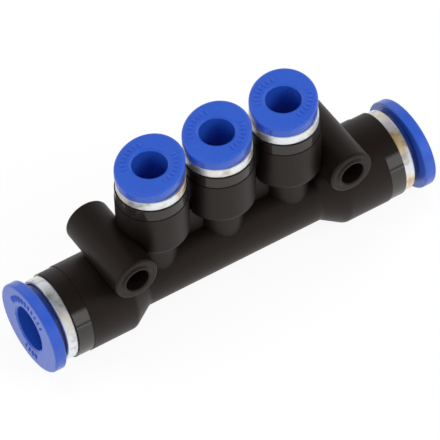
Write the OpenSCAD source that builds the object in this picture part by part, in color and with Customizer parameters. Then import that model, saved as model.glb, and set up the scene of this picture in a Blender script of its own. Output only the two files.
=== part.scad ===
// Air manifold block with five push-in tube ports: two inlets on the main axis and three outlets
// on top, and two cross tubes for the mounting screws.
// X runs along the main channel, Z up along the outlets, Y along the mounting holes.
// The origin is midway between the two mounting holes, on the block's middle plane.

/* [Tubes] */
// Outside diameter of the tube that an inlet takes
inlet_tube_d = 8; // [7.5:0.1:8.4]
// Outside diameter of the tube that an outlet takes
outlet_tube_d = 6; // [5.6:0.1:6.2]
// Radial room round a tube in a release sleeve and in its seat
tube_clearance = 0.1; // [0.05:0.01:0.15]
// Depth of the tube's seat below the seal
seat_l = 1.7; // [1.2:0.1:2.2]

/* [Housing] */
// Length of the housing between its two end faces
housing_l = 65.8; // [64:0.2:72]
// Outside diameter of the main tube between the end sockets
main_tube_d = 10.9; // [10:0.1:12]
// Diameter of the air channel along the main axis
channel_d = 6; // [5:0.1:6.6]
// Diameter of the air way from the channel to an outlet
outlet_way_d = 4.2; // [3:0.1:4.8]
// Wall of the end sockets round their bore
inlet_wall = 1.68; // [1.4:0.02:2]
// Wall of the outlet barrels round their bore
outlet_wall = 1.08; // [0.9:0.02:1.2]
// Solid length behind an inlet's bore before the shoulder begins
inlet_floor = 1.2; // [0.8:0.1:2]
// Thickness under an outlet's bore
barrel_floor = 0.8; // [0.7:0.1:1.2]
// Length of the shoulder between the main tube and an end socket
shoulder_l = 3.9; // [3.6:0.1:4.6]
// Radius of the hollow at the foot of the shoulder
shoulder_fillet_r = 1.2; // [0.8:0.1:1.6]
// Radius of the round at the top of the shoulder
shoulder_round_r = 1.6; // [1:0.1:1.8]
// Length of the smooth band at an inlet's mouth
inlet_band_l = 2.9; // [2:0.1:4]
// Length of the smooth band at an outlet's mouth
outlet_band_l = 2.3; // [1.6:0.1:3.2]
// Depth of the step from the body to a smooth band
band_step = 0.1; // [0.05:0.05:0.3]

/* [Outlets] */
// Distance between neighbouring outlets
outlet_pitch = 13.2; // [12.9:0.1:13.8]
// Height of an outlet's mouth above the main axis
outlet_mouth_h = 20.7; // [20:0.1:24]
// Diameter of the neck between the main tube and an outlet's barrel
neck_d = 8.2; // [7.8:0.1:9]
// Radius round the lower edge of a barrel
barrel_round_r = 1.2; // [0.6:0.1:1.4]
// Radius in the corner between a neck and its barrel
neck_fillet_r = 0.5; // [0.3:0.1:0.8]
// Thickness of the web between neighbouring barrels
web_t = 2; // [1.6:0.2:5]
// Rise of the web above the lower edge of the barrels
web_rise = 1.6; // [0.8:0.1:3]

/* [Mounting] */
// Distance between the two mounting holes
hole_spacing = 42.9; // [42:0.1:45]
// Diameter of a mounting hole
hole_d = 4.4; // [4.2:0.1:4.8]
// Height of the mounting holes above the main axis
hole_h = 9.7; // [9:0.1:10.6]
// Outside diameter of a cross tube
cross_tube_d = 8.2; // [7.6:0.1:8.8]
// Length of a cross tube
cross_tube_l = 16.4; // [15.8:0.2:18]
// Radius round the ends of a cross tube
cross_tube_round_r = 0.5; // [0.2:0.1:0.7]
// Chamfer at the mouths of a mounting hole
hole_chamfer = 0.2; // [0.1:0.1:0.7]
// Rise of the rim round the front mouth of a mounting hole
rim_h = 0.3; // [0.2:0.05:0.5]
// Width of that rim on its top
rim_w = 0.5; // [0.3:0.05:0.6]

/* [Guide rings] */
// Length of an inlet's ring outside the housing
inlet_ring_l = 2.1; // [2:0.1:3]
// Length of an outlet's ring outside the housing
outlet_ring_l = 2; // [1.8:0.1:2.6]
// How much smaller an inlet's ring is than its socket, on the radius
inlet_ring_inset = 0.4; // [0.2:0.05:0.5]
// How much smaller an outlet's ring is than its barrel, on the radius
outlet_ring_inset = 0.3; // [0.2:0.05:0.4]
// Wall of the ring's lip round the recess for a sleeve's collar
ring_lip = 0.6; // [0.4:0.05:0.7]
// Depth from the housing's mouth to the step that stops a sleeve's barbs
guide_l = 3.6; // [3:0.1:4.5]
// Wall of the skirt round the barbs
skirt_wall = 0.5; // [0.4:0.05:0.7]
// Round of a ring's outer edge
ring_round_r = 0.3; // [0.1:0.05:0.4]
// Radial room of a ring, claw, backup ring or seal in its bore
seat_fit = 0.02; // [0.01:0.005:0.03]

/* [Release sleeves] */
// Length of an inlet sleeve's head
inlet_head_l = 2.1; // [1.8:0.1:2.6]
// Length of an outlet sleeve's head
outlet_head_l = 2; // [1.6:0.1:2.2]
// Long side of an inlet sleeve's oval head
inlet_head_long = 18.2; // [17.4:0.1:19]
// Short side of an inlet sleeve's oval head
inlet_head_short = 15.4; // [15:0.1:16]
// Long side of an outlet sleeve's oval head
outlet_head_long = 14.4; // [13.8:0.1:14.8]
// Short side of an outlet sleeve's oval head
outlet_head_short = 11.7; // [11.4:0.1:12]
// Turn of the inlets' oval heads about their ports, left to right
inlet_head_turns = [100, 80]; // [0:1:180]
// Turn of the outlets' oval heads about their ports, left to right
outlet_head_turns = [41, 47, 54]; // [40:1:140]
// Round of a head's outer edge
head_round_r = 0.4; // [0.3:0.1:0.6]
// Round of a head's under edge
head_under_round_r = 0.3; // [0.1:0.1:0.5]
// Depth of the cone that leads a tube into a sleeve's hole
lead_in_l = 0.25; // [0.2:0.05:0.5]
// Width of that cone on a head's face
lead_in_w = 0.35; // [0.25:0.05:0.5]
// Wall of a sleeve's barrel
sleeve_wall = 1.05; // [0.9:0.05:1.2]
// Running room between a barrel and its guide ring
running_clearance = 0.08; // [0.05:0.01:0.1]
// Room round a sleeve's collar in the ring's recess
collar_clearance = 0.15; // [0.1:0.01:0.2]
// Gap between a head and its ring when the sleeve is fully out
head_gap = 1.2; // [1.2:0.1:1.6]
// Travel of a sleeve between fully out and fully pressed
sleeve_travel = 1.1; // [0.9:0.05:1.1]
// Length of a collar that stays inside the ring's recess
collar_engage = 0.2; // [0.1:0.05:0.3]
// Height of the snap barbs above a barrel
barb_h = 0.35; // [0.25:0.05:0.4]
// Length of the snap barbs with their lead-in
barb_l = 1; // [0.8:0.1:1.4]
// Straight part of the barbs next to their step
barb_land = 0.3; // [0.2:0.05:0.4]
// Room at the ends of a sleeve's travel
end_clearance = 0.2; // [0.15:0.05:0.3]
// Room between the barbs and their step when the sleeve is fully out
barb_gap = 0.1; // [0.05:0.05:0.2]
// Width of the slits that let the barbs spring in
slit_w = 0.8; // [0.5:0.1:1]
// Number of slits in a barrel
slit_count = 4; // [3:1:6]

/* [Lock claws] */
// Thickness of a claw's sheet
claw_t = 0.25; // [0.2:0.01:0.3]
// How far the teeth stand inside the tube's outside, on the radius
tooth_bite = 0.1; // [0.05:0.01:0.15]
// Drop of the teeth from rim to tip
tooth_drop = 1.2; // [1:0.1:1.3]
// Width of the slots between the teeth
tooth_slot_w = 0.6; // [0.4:0.1:0.8]
// Number of teeth on a claw
tooth_count = 10; // [8:1:12]

/* [Backup rings and seals] */
// Length of a backup ring
backup_l = 1.7; // [1.6:0.1:2.2]
// Land at a backup ring's inner end
backup_land = 0.2; // [0.1:0.05:0.3]
// Radial room round the tube in a backup ring
backup_clearance = 0.2; // [0.1:0.05:0.3]
// Length of a seal
seal_l = 2.4; // [2:0.1:3]
// How far a seal's lip stands inside the tube's outside, on the radius
lip_bite = 0.15; // [0.1:0.05:0.25]
// Thickness of a seal's lip
lip_t = 0.6; // [0.4:0.05:0.8]
// Thickness of a seal's back
seal_back_l = 0.8; // [0.6:0.05:1]

/* [Hidden] */
$fn = 96;
// Overlap that keeps cuts clear of the faces they pass
cut = 0.1;

// Ports in order: the first two are inlets, the rest are outlets
PORTS = ["left_inlet", "right_inlet", "left_outlet", "middle_outlet", "right_outlet"];
INLETS = 2;
PIECES = ["guide_ring", "release_sleeve", "lock_claw", "backup_ring", "seal"];

HOUSING_COLOR = "#1f1c1a";
SLEEVE_COLOR = "#4467cf";
RING_COLOR = "#d8cfc0";
CLAW_COLOR = "#b9bec2";
BACKUP_COLOR = "#e6e2d8";
SEAL_COLOR = "#141414";

function is_inlet(i) = i < INLETS;
function pick(i, inlet, outlet) = is_inlet(i) ? inlet : outlet;

// Radii of one port, from the tube outwards
function tube_r(i) = pick(i, inlet_tube_d, outlet_tube_d) / 2;
function bore_r(i) = tube_r(i) + tube_clearance;
function barrel_r(i) = bore_r(i) + sleeve_wall;
function guide_bore_r(i) = barrel_r(i) + running_clearance;
function barb_r(i) = barrel_r(i) + barb_h;
function pocket_r(i) = barb_r(i) + collar_clearance;
function insert_r(i) = pocket_r(i) + skirt_wall;
function socket_r(i) = insert_r(i) + seat_fit;
function body_r(i) = socket_r(i) + pick(i, inlet_wall, outlet_wall);
function band_r(i) = body_r(i) - band_step;
function ring_r(i) = body_r(i) - pick(i, inlet_ring_inset, outlet_ring_inset);
function recess_r(i) = ring_r(i) - ring_lip;
function collar_r(i) = recess_r(i) - collar_clearance;
function head_long(i) = pick(i, inlet_head_long, outlet_head_long);
function head_short(i) = pick(i, inlet_head_short, outlet_head_short);
HEAD_TURNS = concat(inlet_head_turns, outlet_head_turns);

// Stations of one port along its axis: 0 at the housing's mouth, positive outwards
function ring_l(i) = pick(i, inlet_ring_l, outlet_ring_l);
function head_l(i) = pick(i, inlet_head_l, outlet_head_l);
function head_under(i) = ring_l(i) + head_gap;
function head_top(i) = head_under(i) + head_l(i);
function collar_end(i) = ring_l(i) - collar_engage;
function recess_floor(i) = ring_l(i) - collar_engage - sleeve_travel - end_clearance;
barb_step = -guide_l - barb_gap;
sleeve_end = barb_step - barb_l;
skirt_end = sleeve_end - sleeve_travel - end_clearance;
claw_back = skirt_end - claw_t;
backup_end = claw_back - backup_l;
seal_end = backup_end - seal_l;
socket_depth = -seal_end;

// The housing
main_z = -hole_h;
main_r = main_tube_d / 2;
end_x = housing_l / 2;
shoulder_x = end_x - socket_depth - inlet_floor;
barrel_l = socket_depth + barrel_floor;
barrel_z = outlet_mouth_h - barrel_l;
FIRST_OUTLET = INLETS;

// Sliver between a profile's corner and the arc that rounds it: a and b point along the two edges,
// away from the corner. It is cut from an outside corner and added in an inside one.
module sliver(corner, a, b, r) {
    half = acos(a * b) / 2;
    middle = (a + b) / norm(a + b);
    difference() {
        polygon([corner, corner + a * r / tan(half), corner + b * r / tan(half)]);
        translate(corner + middle * r / sin(half)) circle(r);
    }
}

// Places a port's axis: +Z points out of its mouth, with 0 at the housing's end face
module at_port(i) {
    if (is_inlet(i))
        translate([(i == 0 ? -1 : 1) * end_x, 0, main_z]) rotate([0, (i == 0 ? -90 : 90), 0]) children();
    else
        translate([(i - INLETS - 1) * outlet_pitch, 0, main_z + outlet_mouth_h]) children();
}

// Outer skin of an end socket with the cone of its shoulder, which runs softly into both tubes
module inlet_skin(i) {
    top = -(end_x - shoulder_x);
    foot = top - shoulder_l;
    slope = [body_r(i) - main_r, shoulder_l];
    up = slope / norm(slope);
    rotate_extrude() {
        difference() {
            polygon([
                [0, foot - shoulder_fillet_r],
                [main_r, foot - shoulder_fillet_r],
                [main_r, foot],
                [body_r(i), top],
                [body_r(i), -inlet_band_l],
                [band_r(i), -inlet_band_l],
                [band_r(i), 0],
                [0, 0]
            ]);
            sliver([body_r(i), top], [0, 1], -up, shoulder_round_r);
        }
        sliver([main_r, foot], [0, -1], up, shoulder_fillet_r);
    }
}

// Outer skin of an outlet: barrel with a rounded lower edge on a neck
module outlet_skin(i) {
    rotate_extrude() {
        difference() {
            polygon([
                [0, -outlet_mouth_h],
                [neck_d / 2, -outlet_mouth_h],
                [neck_d / 2, -barrel_l],
                [body_r(i), -barrel_l],
                [body_r(i), -outlet_band_l],
                [band_r(i), -outlet_band_l],
                [band_r(i), 0],
                [0, 0]
            ]);
            sliver([body_r(i), -barrel_l], [-1, 0], [0, 1], barrel_round_r);
        }
        sliver([neck_d / 2, -barrel_l], [1, 0], [0, -1], neck_fillet_r);
    }
}

// Bore of one port in the housing: socket for the insert and seat for the tube's end
module port_bore(i) {
    translate([0, 0, -socket_depth]) cylinder(r = socket_r(i), h = socket_depth + cut);
    translate([0, 0, -socket_depth - seat_l]) cylinder(r = bore_r(i), h = seat_l + cut);
}

// Cross tube with rounded ends and a sloping rim round the hole in its front face
module cross_tube() {
    tube_edge = cross_tube_d / 2;
    rim_edge = hole_d / 2 + rim_w;
    front = cross_tube_l / 2;
    rotate([90, 0, 0]) rotate_extrude() difference() {
        polygon([
            [0, -front],
            [tube_edge, -front],
            [tube_edge, front],
            [rim_edge + rim_h, front],
            [rim_edge, front + rim_h],
            [0, front + rim_h]
        ]);
        sliver([tube_edge, front], [-1, 0], [0, -1], cross_tube_round_r);
        sliver([tube_edge, -front], [-1, 0], [0, 1], cross_tube_round_r);
    }
}

// Mounting hole through the rim, with a chamfer at each mouth
module mounting_hole() {
    front = cross_tube_l / 2;
    rotate([90, 0, 0]) {
        translate([0, 0, -front - cut]) cylinder(d = hole_d, h = cross_tube_l + rim_h + 2 * cut);
        for (mouth = [[0, front + rim_h], [1, front]]) mirror([0, 0, mouth[0]])
            translate([0, 0, mouth[1] - hole_chamfer])
                cylinder(d1 = hole_d, d2 = hole_d + 2 * (hole_chamfer + cut), h = hole_chamfer + cut);
    }
}

// Moulded body: main tube, end sockets, outlet barrels, webs and cross tubes, with all air ways
module housing() {
    color(HOUSING_COLOR) difference() {
        union() {
            translate([0, 0, main_z]) rotate([0, 90, 0])
                cylinder(r = main_r, h = 2 * shoulder_x, center = true);
            for (i = [0 : INLETS - 1]) at_port(i) inlet_skin(i);
            for (i = [FIRST_OUTLET : len(PORTS) - 1]) at_port(i) outlet_skin(i);
            translate([-outlet_pitch, -web_t / 2, main_z])
                cube([2 * outlet_pitch, web_t, barrel_z + web_rise]);
            for (side = [-1, 1]) translate([side * hole_spacing / 2, 0, 0]) cross_tube();
        }
        for (i = [0 : len(PORTS) - 1]) at_port(i) port_bore(i);
        translate([0, 0, main_z]) rotate([0, 90, 0])
            cylinder(d = channel_d, h = 2 * (end_x - socket_depth), center = true);
        for (i = [FIRST_OUTLET : len(PORTS) - 1]) at_port(i) translate([0, 0, -outlet_mouth_h])
            cylinder(d = outlet_way_d, h = outlet_mouth_h - socket_depth);
        for (side = [-1, 1]) translate([side * hole_spacing / 2, 0, 0]) mounting_hole();
    }
}

// Plated ring at a port's mouth: its skirt sits in the housing, guides the sleeve and stops its barbs
module guide_ring(i) {
    color(RING_COLOR) at_port(i) rotate_extrude() difference() {
        polygon([
            [guide_bore_r(i), recess_floor(i)],
            [recess_r(i), recess_floor(i)],
            [recess_r(i), ring_l(i)],
            [ring_r(i), ring_l(i)],
            [ring_r(i), 0],
            [insert_r(i), 0],
            [insert_r(i), skirt_end],
            [pocket_r(i), skirt_end],
            [pocket_r(i), -guide_l],
            [guide_bore_r(i), -guide_l]
        ]);
        sliver([ring_r(i), ring_l(i)], [-1, 0], [0, -1], ring_round_r);
        sliver([ring_r(i), 0], [-1, 0], [0, 1], ring_round_r);
    }
}

// Oval head of a sleeve with rounded edges
module oval_head(i) {
    edge = head_short(i) / 2;
    rotate([0, 0, HEAD_TURNS[i]]) scale([head_long(i) / head_short(i), 1, 1]) rotate_extrude() difference() {
        translate([0, head_under(i)]) square([edge, head_l(i)]);
        sliver([edge, head_top(i)], [-1, 0], [0, -1], head_round_r);
        sliver([edge, head_under(i)], [-1, 0], [0, 1], head_under_round_r);
    }
}

// Push-to-release sleeve: oval head, collar and a slit barrel with snap barbs
module release_sleeve(i) {
    slit_top = recess_floor(i) - sleeve_travel - end_clearance;
    head_middle = head_under(i) + head_l(i) / 2;
    mouth_slope = lead_in_w / lead_in_l;
    color(SLEEVE_COLOR) at_port(i) difference() {
        union() {
            rotate_extrude() polygon([
                [0, sleeve_end],
                [barrel_r(i) - barb_h, sleeve_end],
                [barb_r(i), barb_step - barb_land],
                [barb_r(i), barb_step],
                [barrel_r(i), barb_step],
                [barrel_r(i), collar_end(i)],
                [collar_r(i), collar_end(i)],
                [collar_r(i), head_middle],
                [0, head_middle]
            ]);
            oval_head(i);
        }
        rotate_extrude() polygon([
            [0, sleeve_end - cut],
            [bore_r(i), sleeve_end - cut],
            [bore_r(i), head_top(i) - lead_in_l],
            [bore_r(i) + lead_in_w + cut * mouth_slope, head_top(i) + cut],
            [0, head_top(i) + cut]
        ]);
        for (k = [0 : slit_count - 1]) rotate([0, 0, k * 360 / slit_count])
            translate([0, -slit_w / 2, sleeve_end - cut])
                cube([barb_r(i) + cut, slit_w, slit_top - sleeve_end + cut]);
    }
}

// Sheet-metal claw: a flat rim with teeth that slope inwards and down to grip the tube
module lock_claw(i) {
    tip_r = tube_r(i) - tooth_bite;
    color(CLAW_COLOR) at_port(i) difference() {
        rotate_extrude() polygon([
            [insert_r(i), skirt_end],
            [pocket_r(i), skirt_end],
            [tip_r, skirt_end - tooth_drop],
            [tip_r, claw_back - tooth_drop],
            [pocket_r(i), claw_back],
            [insert_r(i), claw_back]
        ]);
        for (k = [0 : tooth_count - 1]) rotate([0, 0, k * 360 / tooth_count])
            translate([tip_r / 2, -tooth_slot_w / 2, claw_back - tooth_drop - cut])
                cube([pocket_r(i) - tip_r / 2, tooth_slot_w, tooth_drop + claw_t + 2 * cut]);
    }
}

// Plastic ring that backs the claw with a cone below its teeth
module backup_ring(i) {
    color(BACKUP_COLOR) at_port(i) rotate_extrude() polygon([
        [pocket_r(i), claw_back],
        [insert_r(i), claw_back],
        [insert_r(i), backup_end],
        [bore_r(i) + backup_clearance, backup_end],
        [bore_r(i) + backup_clearance, backup_end + backup_land]
    ]);
}

// Rubber seal: a solid back and a lip that the air presses on the tube
module seal(i) {
    lip_r = tube_r(i) - lip_bite;
    outer_leg_r = insert_r(i) - lip_t;
    back_end = backup_end - seal_back_l;
    color(SEAL_COLOR) at_port(i) rotate_extrude() polygon([
        [bore_r(i) + backup_clearance, backup_end],
        [insert_r(i), backup_end],
        [insert_r(i), seal_end],
        [outer_leg_r, seal_end],
        [outer_leg_r, back_end],
        [bore_r(i) + lip_t, back_end],
        [lip_r + lip_t, seal_end],
        [lip_r, seal_end],
        [bore_r(i), back_end]
    ]);
}

housing();
for (i = [0 : len(PORTS) - 1]) {
    guide_ring(i);
    release_sleeve(i);
    lock_claw(i);
    backup_ring(i);
    seal(i);
}
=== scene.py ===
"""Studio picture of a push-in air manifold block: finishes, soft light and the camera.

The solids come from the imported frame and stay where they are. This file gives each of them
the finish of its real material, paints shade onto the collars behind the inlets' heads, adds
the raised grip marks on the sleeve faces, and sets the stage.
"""

import logging
import math
from dataclasses import dataclass, field
from enum import Enum
from typing import Union

import bpy
from mathutils import Matrix, Vector


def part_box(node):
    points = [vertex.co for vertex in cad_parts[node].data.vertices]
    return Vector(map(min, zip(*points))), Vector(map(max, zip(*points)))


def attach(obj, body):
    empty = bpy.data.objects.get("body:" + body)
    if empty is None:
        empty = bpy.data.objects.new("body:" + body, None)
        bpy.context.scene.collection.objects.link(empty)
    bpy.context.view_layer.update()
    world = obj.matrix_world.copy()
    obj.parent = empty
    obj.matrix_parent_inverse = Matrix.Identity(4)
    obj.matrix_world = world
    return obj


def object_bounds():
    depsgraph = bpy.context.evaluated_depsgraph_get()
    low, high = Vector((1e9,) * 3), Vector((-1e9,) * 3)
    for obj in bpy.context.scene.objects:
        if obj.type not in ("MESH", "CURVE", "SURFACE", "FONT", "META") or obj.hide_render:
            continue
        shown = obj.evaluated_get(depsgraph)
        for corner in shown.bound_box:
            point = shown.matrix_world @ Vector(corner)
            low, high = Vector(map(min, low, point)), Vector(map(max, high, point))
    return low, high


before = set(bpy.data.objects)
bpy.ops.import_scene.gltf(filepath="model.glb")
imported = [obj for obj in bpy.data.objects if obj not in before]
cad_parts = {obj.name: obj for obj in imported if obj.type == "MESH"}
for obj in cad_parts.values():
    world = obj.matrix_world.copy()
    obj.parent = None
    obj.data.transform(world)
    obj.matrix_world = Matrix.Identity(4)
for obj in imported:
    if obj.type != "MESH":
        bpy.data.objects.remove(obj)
CAD_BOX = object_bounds()

log = logging.getLogger("manifold")
MM = 0.001
X_AXIS, Z_AXIS = 0, 2
# Height of the axis through both inlets
MAIN_AXIS_Z_MM = -9.7
# Layers of a noise texture
PLAIN_DETAIL, FINE_DETAIL = 2.0, 3.0
# The sRGB curve: a straight foot, then a power
SRGB_FOOT, SRGB_SLOPE, SRGB_OFFSET, SRGB_POWER = 0.04045, 12.92, 0.055, 2.4

Tree = bpy.types.NodeTree
Socket = bpy.types.NodeSocket
Colour = tuple[float, float, float, float]
Value = Union[float, Socket]
Span = tuple[float, float]


def srgb(code: str) -> Colour:
    """Turns a hex sRGB colour into linear light.

    Args:
        code: A colour such as "#4467cf".

    Returns:
        Red, green, blue and alpha in linear light.
    """
    parts = [int(code[k:k + 2], 16) / 255 for k in (1, 3, 5)]
    linear = [p / SRGB_SLOPE if p <= SRGB_FOOT
              else ((p + SRGB_OFFSET) / (1 + SRGB_OFFSET)) ** SRGB_POWER for p in parts]
    return (*linear, 1.0)


def add_node(tree: Tree, kind: str, links: dict | None = None,
             **settings: object) -> bpy.types.Node:
    """Adds a node, sets its properties and fills its inputs.

    Args:
        tree: The node tree that takes the node.
        kind: The node's type name.
        links: Input name or index to a socket to link from, or to a plain value.
        settings: Properties to set on the node itself.

    Returns:
        The new node.
    """
    node = tree.nodes.new(kind)
    for name, value in settings.items():
        setattr(node, name, value)
    for name, value in (links or {}).items():
        if isinstance(value, Socket):
            tree.links.new(value, node.inputs[name])
        else:
            node.inputs[name].default_value = value
    return node


def maths(tree: Tree, operation: str, *values: Value) -> Socket:
    """Works out one number from others.

    Args:
        tree: The node tree to work in.
        operation: The Math node's operation.
        values: Sockets or plain numbers, in the node's order.

    Returns:
        The result.
    """
    return add_node(tree, "ShaderNodeMath", dict(enumerate(values)), operation=operation).outputs[0]


def map_range(tree: Tree, value: Socket, given: Span, wanted: Span) -> Socket:
    """Stretches one span of numbers over another, clamped at its ends.

    Args:
        tree: The node tree to work in.
        value: The number to map.
        given: The span that the number has.
        wanted: The span that it gets.

    Returns:
        The mapped number.
    """
    links = dict(enumerate((value, *given, *wanted)))
    return add_node(tree, "ShaderNodeMapRange", links).outputs[0]


def noise(tree: Tree, coords: Socket, size_mm: float, detail: float) -> Socket:
    """Adds a cloudy pattern in space.

    Args:
        tree: The node tree to work in.
        coords: The coordinates that carry the pattern.
        size_mm: Size of the pattern's largest spots.
        detail: Number of finer layers.

    Returns:
        A number around 0.5.
    """
    return add_node(tree, "ShaderNodeTexNoise", {
        "Vector": coords, "Scale": 1 / (size_mm * MM), "Detail": detail}).outputs[0]


def mix_colour(tree: Tree, share: Socket, first: Colour | Socket, second: Colour) -> Socket:
    """Mixes two colours.

    Args:
        tree: The node tree to work in.
        share: 0 for the first colour, 1 for the second.
        first: A colour, plain or from a socket.
        second: A plain colour.

    Returns:
        The mixed colour.
    """
    return add_node(tree, "ShaderNodeMix", {0: share, 6: first, 7: second},
                    data_type="RGBA").outputs[2]


def mix_number(tree: Tree, share: Socket, first: Value, second: Value) -> Socket:
    """Mixes two numbers.

    Args:
        tree: The node tree to work in.
        share: 0 for the first number, 1 for the second.
        first: A number, plain or from a socket.
        second: A number, plain or from a socket.

    Returns:
        The mixed number.
    """
    return add_node(tree, "ShaderNodeMix", {0: share, 2: first, 3: second}).outputs[0]


class Facing(Enum):
    """The way that a port's mouth points, as its outward and its sideways direction."""

    LEFT = (Vector((-1, 0, 0)), Vector((0, 0, 1)))
    RIGHT = (Vector((1, 0, 0)), Vector((0, 0, 1)))
    UP = (Vector((0, 0, 1)), Vector((1, 0, 0)))

    @property
    def axis(self) -> int:
        """Gives the coordinate that runs along the port.

        Returns:
            The index of X or of Z.
        """
        return Z_AXIS if self is Facing.UP else X_AXIS

    def turn(self) -> Matrix:
        """Gives the turn that takes local +Z out of the mouth.

        Returns:
            A rotation as a 4 by 4 matrix.
        """
        out, side = self.value
        return Matrix((side, out.cross(side), out)).transposed().to_4x4()


@dataclass(frozen=True)
class Finish:
    """What every finish shares: a name, a colour, a gloss, and the level and tint of its shine."""

    name: str
    colour: str
    roughness: float
    specular: float = 0.5
    glint: str = "#ffffff"

    def start(self) -> tuple[bpy.types.Material, Tree, bpy.types.Node, Socket]:
        """Opens an empty material with a shader and its output.

        Returns:
            The material, its tree, the shader node and the Object coordinates.
        """
        material = bpy.data.materials.new(self.name)
        material.use_nodes = True
        tree = material.node_tree
        tree.nodes.clear()
        shader = add_node(tree, "ShaderNodeBsdfPrincipled", {
            "Base Color": srgb(self.colour), "Roughness": self.roughness,
            "Specular IOR Level": self.specular, "Specular Tint": srgb(self.glint)})
        add_node(tree, "ShaderNodeOutputMaterial", {"Surface": shader.outputs[0]})
        coords = add_node(tree, "ShaderNodeTexCoord").outputs["Object"]
        return material, tree, shader, coords


@dataclass(frozen=True)
class MouldedPlastic(Finish):
    """Injection-moulded plastic: a spark-eroded mould leaves a fine grain and a cloudy gloss."""

    shade: str = "#000000"
    grain_mm: float = 0.25
    grain_depth_mm: float = 0.012
    grain_strength: float = 0.6
    cloud_mm: float = 6.0
    gloss_swing: float = 0.06

    def tone(self, tree: Tree, coords: Socket, tint: Socket) -> Socket:
        """Changes the colour in places; plain plastic keeps it.

        Args:
            tree: The material's tree.
            coords: The Object coordinates.
            tint: The plastic's colour.

        Returns:
            The colour to use.
        """
        return tint

    def polish(self, tree: Tree, coords: Socket, shader: bpy.types.Node) -> None:
        """Adds a smooth skin in places; plain plastic has none.

        Args:
            tree: The material's tree.
            coords: The Object coordinates.
            shader: The shader node.
        """

    def material(self) -> bpy.types.Material:
        """Builds the plastic.

        Returns:
            The finished material.
        """
        material, tree, shader, coords = self.start()
        cloud = noise(tree, coords, self.cloud_mm, FINE_DETAIL)
        tint = mix_colour(tree, cloud, srgb(self.colour), srgb(self.shade))
        gloss = map_range(tree, cloud, (0.0, 1.0), (
            self.roughness - self.gloss_swing, self.roughness + self.gloss_swing))
        bump = add_node(tree, "ShaderNodeBump", {
            "Height": noise(tree, coords, self.grain_mm, PLAIN_DETAIL),
            "Distance": self.grain_depth_mm * MM, "Strength": self.grain_strength})
        tree.links.new(self.tone(tree, coords, tint), shader.inputs["Base Color"])
        tree.links.new(gloss, shader.inputs["Roughness"])
        tree.links.new(bump.outputs[0], shader.inputs["Normal"])
        self.polish(tree, coords, shader)
        return material


@dataclass(frozen=True)
class MouldedHousing(MouldedPlastic):
    """Glass-filled black plastic: matt, with a polished skin on the bands at the ports' mouths."""

    band_from_x_mm: float = 30.0
    band_from_z_mm: float = 8.7
    band_matt_z_mm: float = -4.0
    band_best_z_mm: float = -6.2
    band_fade_mm: float = 0.5
    band_roughness: float = 0.06
    band_ior: float = 1.9
    inlet_band_weight: float = 0.45
    outlet_band_weight: float = 0.28

    def polish(self, tree: Tree, coords: Socket, shader: bpy.types.Node) -> None:
        """Polishes the bands, told by their place along the ports.

        Args:
            tree: The material's tree.
            coords: The Object coordinates.
            shader: The shader node.
        """
        place = add_node(tree, "ShaderNodeSeparateXYZ", {0: coords}).outputs
        height, fade = place[Z_AXIS], self.band_fade_mm * MM
        matt, best = self.band_matt_z_mm * MM, self.band_best_z_mm * MM
        # The bands at the inlets have no polish on the upper side and the most on the front
        upper = map_range(tree, height, (matt - fade, matt), (1.0, 0.0))
        front = map_range(tree, height, (best - fade, best), (self.inlet_band_weight, 1.0))
        reach = maths(tree, "ABSOLUTE", place[X_AXIS])
        ends = maths(tree, "GREATER_THAN", reach, self.band_from_x_mm * MM)
        inlets = maths(tree, "MULTIPLY", ends, maths(tree, "MULTIPLY", upper, front))
        tops = maths(tree, "GREATER_THAN", height, self.band_from_z_mm * MM)
        outlets = maths(tree, "MULTIPLY", tops, self.outlet_band_weight)
        shader.inputs["Coat Roughness"].default_value = self.band_roughness
        shader.inputs["Coat IOR"].default_value = self.band_ior
        tree.links.new(maths(tree, "MAXIMUM", inlets, outlets), shader.inputs["Coat Weight"])


@dataclass(frozen=True)
class SleevePlastic(MouldedPlastic):
    """Blue sleeve plastic: the collars behind the heads of the inlets get a darker blue, painted
    shade for the shadow between the rings and the heads.
    """

    # Darker blue of the painted shade on the collars behind the inlets' heads
    painted_collar_shade: str = "#102d74"
    collar_to_x_mm: float = 36.15
    collar_r_mm: float = 6.7
    collar_spread_mm: float = 0.8

    def tone(self, tree: Tree, coords: Socket, tint: Socket) -> Socket:
        """Paints shade onto the collars, told by their place along the main axis and distance from
        it.

        Args:
            tree: The material's tree.
            coords: The Object coordinates.
            tint: The plastic's colour.

        Returns:
            The colour to use.
        """
        along = add_node(tree, "ShaderNodeSeparateXYZ", {0: coords}).outputs[X_AXIS]
        reach = maths(tree, "ABSOLUTE", along)
        behind = maths(tree, "LESS_THAN", reach, self.collar_to_x_mm * MM)
        across = add_node(tree, "ShaderNodeVectorMath", {
            0: coords, 1: (0.0, 1.0, 1.0), 2: (0.0, 0.0, -MAIN_AXIS_Z_MM * MM)},
            operation="MULTIPLY_ADD").outputs[0]
        radius = add_node(tree, "ShaderNodeVectorMath", {0: across},
                          operation="LENGTH").outputs["Value"]
        near = maths(tree, "COMPARE", radius, self.collar_r_mm * MM, self.collar_spread_mm * MM)
        shaded_collar = maths(tree, "MULTIPLY", behind, near)
        # Painted shade: a darker blue on the collars, in place of the shadow that the rings and
        # heads cast there
        return mix_colour(tree, shaded_collar, tint, srgb(self.painted_collar_shade))


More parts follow.
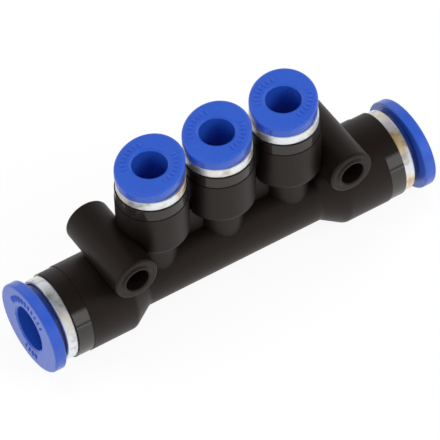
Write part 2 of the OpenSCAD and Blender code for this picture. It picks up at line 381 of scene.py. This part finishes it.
@dataclass(frozen=True)
class StampedSteel(Finish):
    """Rolled spring sheet: long faint streaks from the rolls across a bright grey skin."""

    shade: str = "#9aa0a4"
    streak_mm: float = 0.12
    stretch: float = 14.0
    gloss_span: Span = (0.7, 1.4)

    def material(self) -> bpy.types.Material:
        """Builds the sheet.

        Returns:
            The finished material.
        """
        material, tree, shader, coords = self.start()
        shader.inputs["Metallic"].default_value = 1.0
        drawn = add_node(tree, "ShaderNodeMapping", {
            "Vector": coords, "Scale": (1.0, 1.0 / self.stretch, 1.0)}).outputs[0]
        streaks = noise(tree, drawn, self.streak_mm, FINE_DETAIL)
        tint = mix_colour(tree, streaks, srgb(self.colour), srgb(self.shade))
        low, high = self.gloss_span
        gloss = map_range(tree, streaks, (0.0, 1.0), (self.roughness * low, self.roughness * high))
        tree.links.new(tint, shader.inputs["Base Color"])
        tree.links.new(gloss, shader.inputs["Roughness"])
        return material


@dataclass(frozen=True)
class TurnedMetal(Finish):
    """Turned and plated metal: fine tool rings round the axis, a dulled skin, and worn stains."""

    axis: int = Z_AXIS
    metallic: float = 0.86
    warm: str = "#f0d3a4"
    warm_patch_mm: float = 5.0
    warm_span: Span = (0.5, 0.72)
    stain: str = "#8b8270"
    stain_mm: float = 1.9
    stain_span: Span = (0.5, 0.75)
    stain_share: float = 0.7
    ring_mm: float = 0.18
    ring_depth_mm: float = 0.003
    ring_strength: float = 0.5
    gloss_span: Span = (0.7, 1.3)

    def material(self) -> bpy.types.Material:
        """Builds the metal.

        Returns:
            The finished material.
        """
        material, tree, shader, coords = self.start()
        shader.inputs["Metallic"].default_value = self.metallic
        along = add_node(tree, "ShaderNodeSeparateXYZ", {0: coords}).outputs[self.axis]
        rings = add_node(tree, "ShaderNodeTexNoise", {
            "W": along, "Scale": 1 / (self.ring_mm * MM), "Detail": PLAIN_DETAIL},
            noise_dimensions="1D").outputs[0]
        low, high = self.gloss_span
        gloss = map_range(tree, rings, (0.0, 1.0), (self.roughness * low, self.roughness * high))
        bump = add_node(tree, "ShaderNodeBump", {
            "Height": rings, "Distance": self.ring_depth_mm * MM, "Strength": self.ring_strength})
        # Where the plating is thin, the brass below warms it
        patch = noise(tree, coords, self.warm_patch_mm, PLAIN_DETAIL)
        thin = map_range(tree, patch, self.warm_span, (0.0, 1.0))
        skin = mix_colour(tree, thin, srgb(self.colour), srgb(self.warm))
        spots = noise(tree, coords, self.stain_mm, FINE_DETAIL)
        worn = map_range(tree, spots, self.stain_span, (0.0, self.stain_share))
        tint = mix_colour(tree, worn, skin, srgb(self.stain))
        tree.links.new(tint, shader.inputs["Base Color"])
        tree.links.new(gloss, shader.inputs["Roughness"])
        tree.links.new(bump.outputs[0], shader.inputs["Normal"])
        return material


@dataclass(frozen=True)
class StudioCamera:
    """The photograph's viewpoint, as a long lens that looks down on the block."""

    azimuth_deg: float = -30.59
    elevation_deg: float = 48.61
    roll_deg: float = -2.47
    distance_mm: float = 806.0
    focal_px: float = 4725.0
    image_px: float = 440.0
    sensor_mm: float = 36.0
    aim_right_mm: float = -0.19
    aim_up_mm: float = 2.30
    clip_m: Span = (0.05, 20.0)

    def build(self) -> bpy.types.Object:
        """Makes the camera and hands it to the scene.

        Returns:
            The camera object.
        """
        a, e, r = (math.radians(v) for v in (self.azimuth_deg, self.elevation_deg, self.roll_deg))
        back = Vector((math.sin(a) * math.cos(e), -math.cos(a) * math.cos(e), math.sin(e)))
        level = Vector((math.cos(a), math.sin(a), 0))
        upright = back.cross(level)
        right = level * math.cos(r) + upright * math.sin(r)
        up = upright * math.cos(r) - level * math.sin(r)
        place = back * self.distance_mm + right * self.aim_right_mm + up * self.aim_up_mm
        place.z += MAIN_AXIS_Z_MM
        data = bpy.data.cameras.new("studio_camera")
        data.sensor_width = self.sensor_mm
        data.lens = self.sensor_mm * self.focal_px / self.image_px
        data.clip_start, data.clip_end = self.clip_m
        camera = bpy.data.objects.new("studio_camera", data)
        turn = Matrix((right, up, back)).transposed().to_4x4()
        camera.matrix_world = Matrix.Translation(place * MM) @ turn
        bpy.context.scene.collection.objects.link(camera)
        bpy.context.scene.camera = camera
        return camera


@dataclass(frozen=True)
class Softbox:
    """A square area lamp that looks at the block."""

    name: str
    place_mm: tuple[float, float, float]
    side_mm: float
    power_w: float
    colour: str = "#ffffff"

    def build(self) -> bpy.types.Object:
        """Makes the lamp.

        Returns:
            The lamp object.
        """
        data = bpy.data.lights.new(self.name, "AREA")
        data.shape = "SQUARE"
        data.size = self.side_mm * MM
        data.energy = self.power_w
        data.color = srgb(self.colour)[:3]
        lamp = bpy.data.objects.new(self.name, data)
        place = Vector(self.place_mm) * MM
        turn = place.to_track_quat("Z", "Y").to_matrix().to_4x4()
        lamp.matrix_world = Matrix.Translation(place) @ turn
        # The lamps light, and the white walls alone show in gloss
        lamp.visible_glossy = False
        bpy.context.scene.collection.objects.link(lamp)
        return lamp


@dataclass
class Stage:
    """The pale floor, the white surroundings and the lamps."""

    floor_half_mm: float = 1500.0
    floor_colour: str = "#f4f4f4"
    floor_glow: float = 0.88
    floor_strength: float = 1.03
    sky_strength: float = 0.45
    ceiling_strength: float = 0.2
    wall_top: float = 0.62
    wall_fade: float = 0.06
    seam_strength: float = 0.3
    seam_top: float = 0.06
    lamps: list[Softbox] = field(default_factory=lambda: [
        Softbox("key_softbox", (260.0, -330.0, 330.0), side_mm=260.0, power_w=1.15),
        Softbox("left_softbox", (-430.0, -120.0, 160.0), side_mm=240.0, power_w=0.5),
        Softbox("top_softbox", (0.0, 120.0, 480.0), side_mm=300.0, power_w=0.85),
    ])

    def build_sky(self) -> None:
        """Sets white surroundings; gloss sees a seam behind the table and a dim ceiling."""
        world = bpy.data.worlds.new("white_studio")
        world.use_nodes = True
        tree = world.node_tree
        tree.nodes.clear()
        gaze = add_node(tree, "ShaderNodeTexCoord").outputs["Generated"]
        rise = add_node(tree, "ShaderNodeSeparateXYZ", {0: gaze}).outputs[Z_AXIS]
        wall = map_range(tree, rise, (self.wall_top, self.wall_top + self.wall_fade),
                         (1.0, self.ceiling_strength))
        seam = map_range(tree, rise, (self.seam_top, self.seam_top + self.wall_fade),
                         (self.seam_strength, 1.0))
        room = maths(tree, "MINIMUM", wall, seam)
        path = add_node(tree, "ShaderNodeLightPath").outputs
        lit = mix_number(tree, path["Is Glossy Ray"], self.sky_strength, room)
        clear = maths(tree, "MAXIMUM", path["Is Camera Ray"], path["Is Transmission Ray"])
        strength = mix_number(tree, clear, lit, 1.0)
        sky = add_node(tree, "ShaderNodeBackground", {"Strength": strength})
        add_node(tree, "ShaderNodeOutputWorld", {"Surface": sky.outputs[0]})
        bpy.context.scene.world = world

    def paper(self) -> bpy.types.Material:
        """Builds the floor's paper, which glows for rays that carry a picture.

        Returns:
            The finished material.
        """
        material = bpy.data.materials.new("pale_paper_floor")
        material.use_nodes = True
        tree = material.node_tree
        tree.nodes.clear()
        path = add_node(tree, "ShaderNodeLightPath").outputs
        seen = maths(tree, "MAXIMUM", path["Is Camera Ray"], path["Is Glossy Ray"])
        eye = maths(tree, "MAXIMUM", seen, path["Is Transmission Ray"])
        plain = add_node(tree, "ShaderNodeBsdfDiffuse", {"Color": srgb(self.floor_colour)})
        glow = add_node(tree, "ShaderNodeEmission", {"Strength": self.floor_strength})
        mix = add_node(tree, "ShaderNodeMixShader", {
            0: maths(tree, "MULTIPLY", eye, self.floor_glow),
            1: plain.outputs[0], 2: glow.outputs[0]})
        add_node(tree, "ShaderNodeOutputMaterial", {"Surface": mix.outputs[0]})
        return material

    def build_floor(self) -> bpy.types.Object:
        """Lays the floor under the block's lowest point.

        Returns:
            The floor object.
        """
        half = self.floor_half_mm * MM
        z = CAD_BOX[0].z
        corners = [(-half, -half, z), (half, -half, z), (half, half, z), (-half, half, z)]
        mesh = bpy.data.meshes.new("floor")
        mesh.from_pydata(corners, [], [(0, 1, 2, 3)])
        mesh.materials.append(self.paper())
        floor = bpy.data.objects.new("floor", mesh)
        bpy.context.scene.collection.objects.link(floor)
        return floor

    def build(self) -> None:
        """Sets up the surroundings, the floor and the lamps."""
        self.build_sky()
        self.build_floor()
        for lamp in self.lamps:
            lamp.build()
            log.info("lamp %s", lamp.name)


@dataclass
class GripMarks:
    """Raised marks in two arcs round the hole of a sleeve's face, which give a finger some grip."""

    places: int = 30
    first_run: int = 8
    second_start: int = 16
    second_run: int = 8
    turn_deg: float = 80.0
    radius_mm: float = 4.5
    length_mm: float = 1.15
    width_mm: float = 0.5
    height_mm: float = 0.5
    ball_radius: float = 0.5
    ball_detail: int = 3

    @staticmethod
    def compare(tree: Tree, operation: str, first: Socket, second: Socket) -> Socket:
        """Compares two whole numbers.

        Args:
            tree: The node tree to work in.
            operation: The Compare node's operation.
            first: The first number.
            second: The second number.

        Returns:
            Whether the comparison holds.
        """
        return add_node(tree, "FunctionNodeCompare", {2: first, 3: second},
                        data_type="INT", operation=operation).outputs[0]

    def chosen(self, tree: Tree, given: bpy.types.NodeOutputs) -> Socket:
        """Picks the places of the two arcs.

        Args:
            tree: The marks' node tree.
            given: The tree's inputs.

        Returns:
            Whether a place carries a mark.
        """
        index = add_node(tree, "GeometryNodeInputIndex").outputs[0]
        stop = maths(tree, "ADD", given["Second Start"], given["Second Run"])
        first = self.compare(tree, "LESS_THAN", index, given["First Run"])
        past = self.compare(tree, "GREATER_EQUAL", index, given["Second Start"])
        short = self.compare(tree, "LESS_THAN", index, stop)
        second = add_node(tree, "FunctionNodeBooleanMath", {0: past, 1: short}, operation="AND")
        return add_node(tree, "FunctionNodeBooleanMath", {0: first, 1: second.outputs[0]},
                        operation="OR").outputs[0]

    def tree(self) -> Tree:
        """Builds the node tree that repeats one mark round a circle.

        Returns:
            The tree, with named inputs for its sizes.
        """
        tree = bpy.data.node_groups.new("grip_marks", "GeometryNodeTree")
        tree.interface.new_socket("Geometry", in_out="OUTPUT", socket_type="NodeSocketGeometry")
        inputs = {"Places": "Int", "First Run": "Int", "Second Start": "Int", "Second Run": "Int",
                  "Radius": "Float", "Mark Size": "Vector", "Material": "Material"}
        for name, kind in inputs.items():
            tree.interface.new_socket(name, in_out="INPUT", socket_type="NodeSocket" + kind)
        given = add_node(tree, "NodeGroupInput").outputs
        spot = add_node(tree, "GeometryNodeInputPosition").outputs[0]
        circle = add_node(tree, "GeometryNodeMeshCircle", {
            "Vertices": given["Places"], "Radius": given["Radius"]})
        turn = add_node(tree, "FunctionNodeAlignRotationToVector", {"Vector": spot},
                        axis="X", pivot_axis="Z")
        mark = add_node(tree, "GeometryNodeMeshIcoSphere", {
            "Radius": self.ball_radius, "Subdivisions": self.ball_detail})
        marks = add_node(tree, "GeometryNodeInstanceOnPoints", {
            "Points": circle.outputs[0], "Selection": self.chosen(tree, given),
            "Instance": mark.outputs[0], "Rotation": turn.outputs[0], "Scale": given["Mark Size"]})
        real = add_node(tree, "GeometryNodeRealizeInstances", {0: marks.outputs[0]})
        smooth = add_node(tree, "GeometryNodeSetShadeSmooth", {"Geometry": real.outputs[0]})
        coated = add_node(tree, "GeometryNodeSetMaterial", {
            "Geometry": smooth.outputs[0], "Material": given["Material"]})
        add_node(tree, "NodeGroupOutput", {0: coated.outputs[0]})
        return tree

    def build(self, name: str, body: str, place: Matrix,
              material: bpy.types.Material) -> bpy.types.Object:
        """Makes the marks of one sleeve and lets them ride on it.

        Args:
            name: The piece's name.
            body: The moving body that carries the marks.
            place: Where the face is, with local +Z out of it.
            material: The sleeve's finish.

        Returns:
            The marks as one plain mesh object.
        """
        tree = self.tree()
        maker = bpy.data.objects.new(name + "_maker", bpy.data.meshes.new(name + "_maker"))
        bpy.context.scene.collection.objects.link(maker)
        modifier = maker.modifiers.new("marks", "NODES")
        modifier.node_group = tree
        size = (self.length_mm * MM, self.width_mm * MM, self.height_mm * MM)
        given = {"Places": self.places, "First Run": self.first_run,
                 "Second Start": self.second_start, "Second Run": self.second_run,
                 "Radius": self.radius_mm * MM, "Mark Size": size, "Material": material}
        for item in tree.interface.items_tree:
            if item.in_out == "INPUT":
                modifier[item.identifier] = given[item.name]
        maker.update_tag()
        bpy.context.view_layer.update()
        made = maker.evaluated_get(bpy.context.evaluated_depsgraph_get())
        mesh = bpy.data.meshes.new_from_object(made)
        bpy.data.objects.remove(maker)
        mesh.name = name
        mesh.transform(place @ Matrix.Rotation(math.radians(self.turn_deg), 4, "Z"))
        marks = bpy.data.objects.new(name, mesh)
        bpy.context.scene.collection.objects.link(marks)
        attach(marks, body)
        return marks


@dataclass
class Port:
    """One push-in port with its ring, sleeve, claw, backup ring and seal."""

    name: str
    facing: Facing
    finishes: dict[str, bpy.types.Material]
    marks: GripMarks

    def dress(self) -> None:
        """Gives each of the port's solids its finish and sets the grip marks on its sleeve."""
        for piece, material in self.finishes.items():
            wear(f"{self.name}_{piece}", material)
        low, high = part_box(f"{self.name}_release_sleeve")
        middle, half = (low + high) / 2, (high - low) / 2
        out = self.facing.value[0]
        face = middle + out * half[self.facing.axis]
        place = Matrix.Translation(face) @ self.facing.turn()
        self.marks.build(f"{self.name}_grip_marks", f"{self.name}_sleeve", place,
                         self.finishes["release_sleeve"])
        log.info("port %s dressed", self.name)


def wear(node: str, material: bpy.types.Material) -> None:
    """Puts one material on a CAD node.

    Args:
        node: The node's name.
        material: The finish that covers it.
    """
    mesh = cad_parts[node].data
    mesh.materials.clear()
    mesh.materials.append(material)


def main() -> None:
    """Builds the stage and dresses the block, piece by piece."""
    logging.basicConfig(level=logging.INFO)
    bpy.context.scene.view_settings.view_transform = "Standard"
    StudioCamera().build()
    Stage().build()
    wear("housing", MouldedHousing(
        "black_pbt_fine_grain", "#130e0c", roughness=0.46, specular=0.3, glint="#fff0ea",
        shade="#19130f").material())
    blue = SleevePlastic(
        "blue_acetal_satin", "#2858ca", roughness=0.28, specular=0.6, shade="#2d5ece",
        grain_depth_mm=0.003).material()
    steel = StampedSteel("spring_steel_stamped", "#b9bec2", roughness=0.28).material()
    white = MouldedPlastic("white_acetal", "#e6e2d8", roughness=0.4, shade="#dcd8cc").material()
    rubber = MouldedPlastic(
        "nitrile_rubber_black", "#141414", roughness=0.6, shade="#1a1a1a").material()
    rings = {axis: TurnedMetal(
        f"nickel_plated_brass_{letter}", "#f3f6f8", roughness=0.42, axis=axis).material()
        for letter, axis in (("x", X_AXIS), ("z", Z_AXIS))}
    outlet_marks = GripMarks()
    inlet_marks = GripMarks(places=34, first_run=11, second_start=20, second_run=4,
                            turn_deg=-46.0, radius_mm=5.7, length_mm=1.3)
    ports = {"left_inlet": Facing.LEFT, "right_inlet": Facing.RIGHT,
             "left_outlet": Facing.UP, "middle_outlet": Facing.UP, "right_outlet": Facing.UP}
    for name, facing in ports.items():
        finishes = {"guide_ring": rings[facing.axis], "release_sleeve": blue, "lock_claw": steel,
                    "backup_ring": white, "seal": rubber}
        marks = outlet_marks if facing is Facing.UP else inlet_marks
        Port(name, facing, finishes, marks).dress()


if __name__ == "__main__":
    main()
